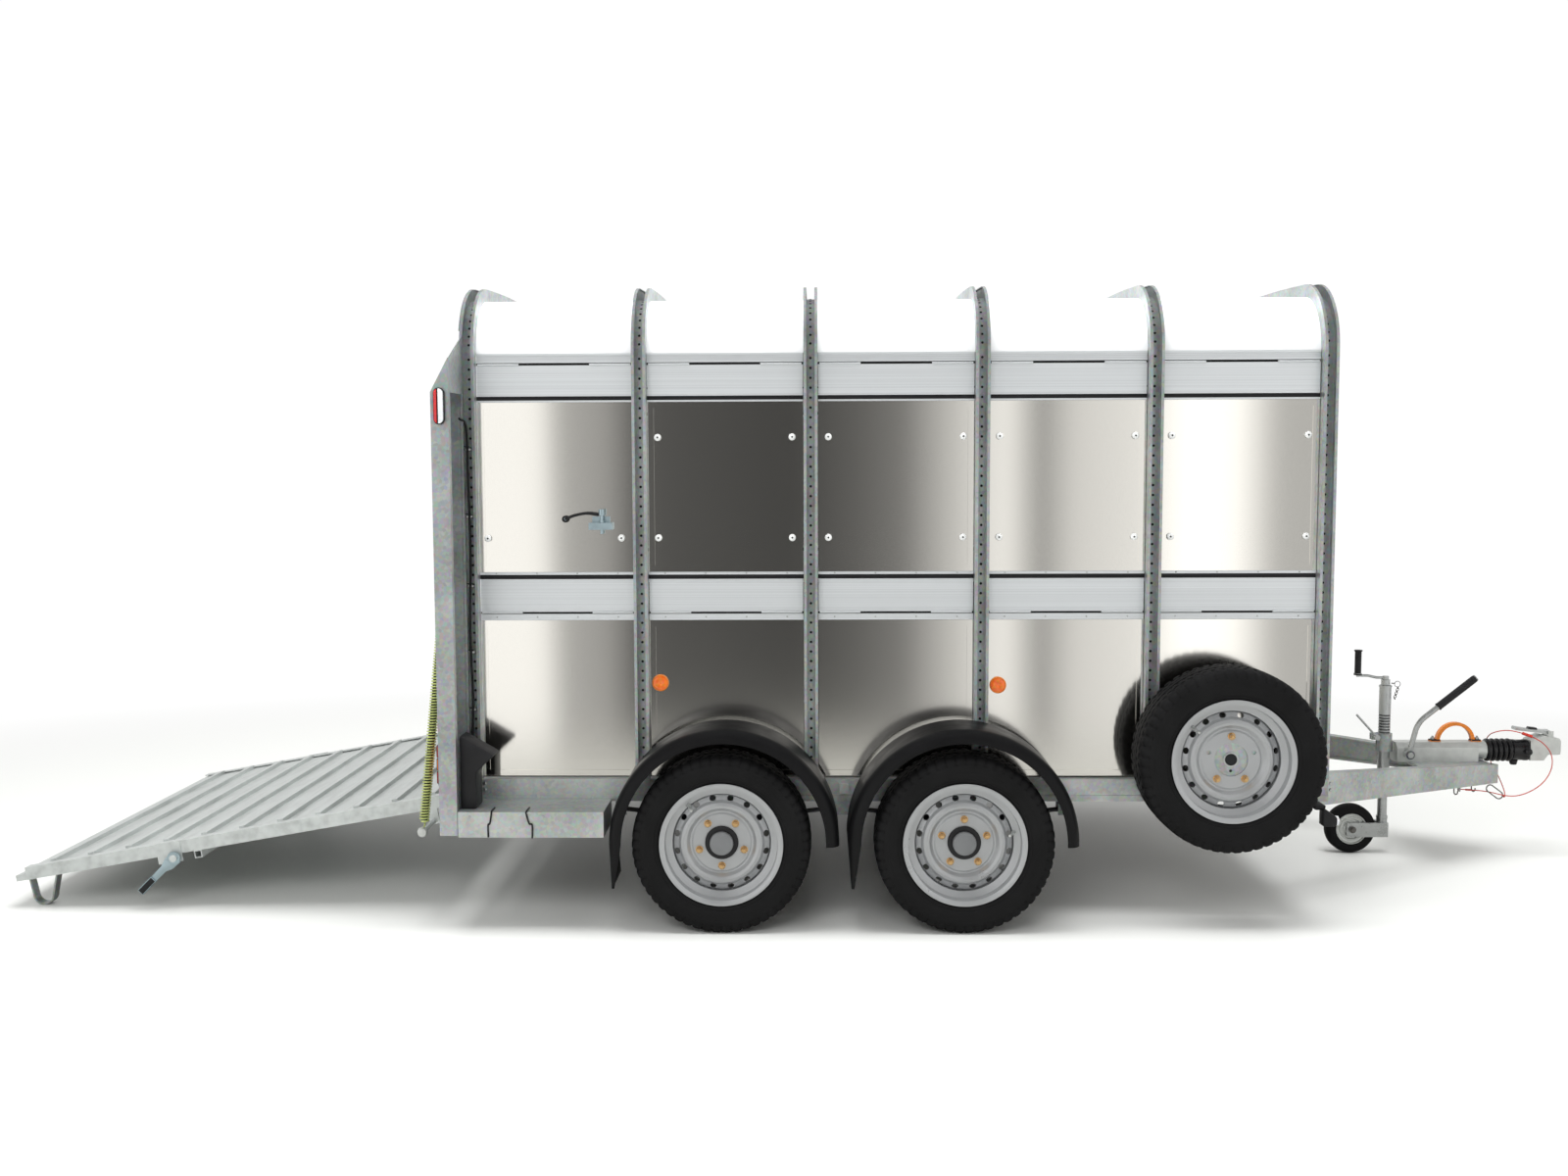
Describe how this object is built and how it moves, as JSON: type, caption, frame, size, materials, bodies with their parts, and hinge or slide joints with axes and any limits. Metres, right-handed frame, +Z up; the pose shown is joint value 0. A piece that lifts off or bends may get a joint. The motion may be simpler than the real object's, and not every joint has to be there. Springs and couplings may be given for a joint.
{
  "type": "livestock trailer",
  "caption": "Twin-axle livestock trailer with hooped aluminium body, vent flaps, lowered rear loading ramp, side spare wheel, A-frame drawbar, overrun coupling and jockey wheel.",
  "frame": {"origin": "on the ground, under the middle of the whole trailer's length and width", "axes": "+X forwards to the tow coupling, +Y to the trailer's left side, +Z up"},
  "size_m": [6.0741, 2.32, 2.2973],
  "materials": {
    "galvanised_steel": "hot-dip galvanised, satin with a faint spangle",
    "aluminium_panel": "mill-finish sheet, vertical brushed sheen",
    "ramp_aluminium": "planked, lightly scuffed",
    "deck_board": "dark resin-faced board, fine grip texture",
    "roof_white": "smooth white skin, satin",
    "tyre_rubber": "matt black tread rubber",
    "wheel_silver": "silver painted pressed steel",
    "hub_metal": "grey cast drum, zinc nuts and grey plastic cap",
    "black_plastic": "moulded, slightly satin",
    "black_rubber": "moulded rubber, satin",
    "lamp_plastic": "moulded lenses in black rubber housings",
    "zinc_steel": "bright zinc plate",
    "axle_steel": "galvanised, dull",
    "spring_steel": "dark spring steel leaves",
    "coil_yellow": "yellow passivated zinc wire",
    "orange_plastic": "moulded orange grip",
    "cable_red": "red sheathed wire rope"
  },
  "bodies": {
    "trailer": {"chassis_frame": "galvanised_steel", "floor_deck": "deck_board", "drawbar": "galvanised_steel", "side_posts": "galvanised_steel", "roof_bows": "galvanised_steel", "roof_skin": "roof_white", "front_wall": "aluminium_panel", "lower_side_panels": "aluminium_panel", "middle_side_panels": "aluminium_panel", "side_rails": "aluminium_panel", "side_fittings": "zinc_steel", "rear_frame": "galvanised_steel", "rear_steps": "galvanised_steel", "lamps": "lamp_plastic", "mudguards": "black_plastic", "leaf_springs": "spring_steel", "spring_hangers": "galvanised_steel", "spare_carrier": "galvanised_steel", "ramp_springs": "coil_yellow", "coupling_housing": "zinc_steel", "bellows": "black_rubber", "grab_handle": "orange_plastic", "breakaway_cable": "cable_red", "carabiner": "zinc_steel", "spare_tyre": "tyre_rubber", "spare_rim": "wheel_silver"},
    "ramp": {"ramp_frame": "ramp_aluminium", "ramp_deck": "ramp_aluminium", "ramp_feet": "galvanised_steel"},
    "ramp_catch_right": {"ramp_catch_right": "zinc_steel"},
    "ramp_catch_left": {"ramp_catch_left": "zinc_steel"},
    "rear_axle": {"rear_axle": "axle_steel"},
    "front_axle": {"front_axle": "axle_steel"},
    "coupling_head": {"coupling_head": "zinc_steel"},
    "coupling_lever": {"coupling_lever": "zinc_steel"},
    "handbrake": {"handbrake_lever": "zinc_steel"},
    "jack": {"jack_outer": "zinc_steel"},
    "jack_leg": {"jack_inner": "zinc_steel"},
    "crank": {"crank_handle": "zinc_steel"},
    "jockey_fork": {"jockey_fork": "zinc_steel"},
    "jockey_wheel": {"jockey_wheel": "black_rubber"},
    "clamp_lever": {"clamp_lever": "zinc_steel"},
    "latch_pin": {"latch_pin": "zinc_steel"},
    "wheel_rear_right": {"tyre_rear_right": "tyre_rubber", "rim_rear_right": "wheel_silver", "hub_rear_right": "hub_metal"},
    "wheel_rear_left": {"tyre_rear_left": "tyre_rubber", "rim_rear_left": "wheel_silver", "hub_rear_left": "hub_metal"},
    "wheel_front_right": {"tyre_front_right": "tyre_rubber", "rim_front_right": "wheel_silver", "hub_front_right": "hub_metal"},
    "wheel_front_left": {"tyre_front_left": "tyre_rubber", "rim_front_left": "wheel_silver", "hub_front_left": "hub_metal"},
    "upper_vent_flaps_right": {"upper_vent_flaps_right": "aluminium_panel"},
    "upper_vent_flaps_left": {"upper_vent_flaps_left": "aluminium_panel"},
    "lower_vent_flaps_right": {"lower_vent_flaps_right": "aluminium_panel"},
    "lower_vent_flaps_left": {"lower_vent_flaps_left": "aluminium_panel"}
  },
  "joints": [
    {"name": "ramp_hinge", "type": "hinge", "parent": "trailer", "child": "ramp", "pos_m": [-1.406, 0, 0.416], "axis": [0, 1, 0], "range_deg": [0, 100], "deforming": ["ramp_springs"]},
    {"name": "ramp_catch_right_pivot", "type": "hinge", "parent": "ramp", "child": "ramp_catch_right", "pos_m": [-2.43362, -0.872, 0.19723], "axis": [0, 1, 0], "range_deg": [0, 48]},
    {"name": "ramp_catch_left_pivot", "type": "hinge", "parent": "ramp", "child": "ramp_catch_left", "pos_m": [-2.43362, 0.872, 0.19723], "axis": [0, 1, 0], "range_deg": [0, 48]},
    {"name": "rear_axle_travel", "type": "slide", "parent": "trailer", "child": "rear_axle", "axis": [0, 0, 1], "range_m": [0, 0.04], "stiffness_N_per_m": 60000, "springref_m": -0.11, "deforming": ["leaf_springs"]},
    {"name": "wheel_rear_right_spin", "type": "hinge", "parent": "rear_axle", "child": "wheel_rear_right", "pos_m": [-0.4, -1.055, 0.314], "axis": [0, 1, 0], "continuous": true},
    {"name": "wheel_rear_left_spin", "type": "hinge", "parent": "rear_axle", "child": "wheel_rear_left", "pos_m": [-0.4, 1.055, 0.314], "axis": [0, 1, 0], "continuous": true},
    {"name": "front_axle_travel", "type": "slide", "parent": "trailer", "child": "front_axle", "axis": [0, 0, 1], "range_m": [0, 0.04], "stiffness_N_per_m": 60000, "springref_m": -0.11, "deforming": ["leaf_springs"]},
    {"name": "wheel_front_right_spin", "type": "hinge", "parent": "front_axle", "child": "wheel_front_right", "pos_m": [0.448, -1.055, 0.314], "axis": [0, 1, 0], "continuous": true},
    {"name": "wheel_front_left_spin", "type": "hinge", "parent": "front_axle", "child": "wheel_front_left", "pos_m": [0.448, 1.055, 0.314], "axis": [0, 1, 0], "continuous": true},
    {"name": "coupling_overrun", "type": "slide", "parent": "trailer", "child": "coupling_head", "axis": [1, 0, 0], "range_m": [-0.06, 0], "stiffness_N_per_m": 2000, "springref_m": 0.1, "deforming": ["bellows"]},
    {"name": "coupling_lever_pivot", "type": "hinge", "parent": "coupling_head", "child": "coupling_lever", "pos_m": [2.985, 0, 0.508], "axis": [0, 1, 0], "range_deg": [0, 60]},
    {"name": "handbrake_pivot", "type": "hinge", "parent": "trailer", "child": "handbrake", "pos_m": [2.386, -0.066, 0.427], "axis": [0, 1, 0], "range_deg": [0, 35]},
    {"name": "jack_clamp_slide", "type": "slide", "parent": "trailer", "child": "jack", "axis": [0, 0, 1], "range_m": [0, 0.09]},
    {"name": "jack_crank", "type": "hinge", "parent": "jack", "child": "crank", "pos_m": [2.307, 0, 0.738], "axis": [0, 0, 1], "range_deg": [0, 5760]},
    {"name": "jack_lift", "type": "slide", "parent": "jack", "child": "jack_leg", "axis": [0, 0, 1], "range_m": [0, 0.08]},
    {"name": "jockey_swivel", "type": "hinge", "parent": "jack_leg", "child": "jockey_fork", "pos_m": [2.307, 0, 0.165], "axis": [0, 0, 1], "continuous": true},
    {"name": "jockey_wheel_spin", "type": "hinge", "parent": "jockey_fork", "child": "jockey_wheel", "pos_m": [2.173, 0, 0.103], "axis": [0, 1, 0], "continuous": true},
    {"name": "clamp_lever_turn", "type": "hinge", "parent": "trailer", "child": "clamp_lever", "pos_m": [2.266, -0.033, 0.492], "axis": [0, 1, 0], "range_deg": [-60, 80]},
    {"name": "upper_vents_right_hinge", "type": "hinge", "parent": "trailer", "child": "upper_vent_flaps_right", "pos_m": [0.219, -0.882, 1.99], "axis": [-1, 0, 0], "range_deg": [0, 80]},
    {"name": "lower_vents_right_hinge", "type": "hinge", "parent": "trailer", "child": "lower_vent_flaps_right", "pos_m": [0.219, -0.882, 1.104], "axis": [1, 0, 0], "range_deg": [0, 90]},
    {"name": "upper_vents_left_hinge", "type": "hinge", "parent": "trailer", "child": "upper_vent_flaps_left", "pos_m": [0.219, 0.882, 1.99], "axis": [1, 0, 0], "range_deg": [0, 80]},
    {"name": "lower_vents_left_hinge", "type": "hinge", "parent": "trailer", "child": "lower_vent_flaps_left", "pos_m": [0.219, 0.882, 1.104], "axis": [-1, 0, 0], "range_deg": [0, 90]},
    {"name": "latch_pin_lift", "type": "slide", "parent": "trailer", "child": "latch_pin", "axis": [0, 0, 1], "range_m": [0, 0.05]}
  ],
  "couplings": [
    {"joint": "jack_lift", "follows": "jack_crank", "m_per_rad": 0.00079577}
  ]
}
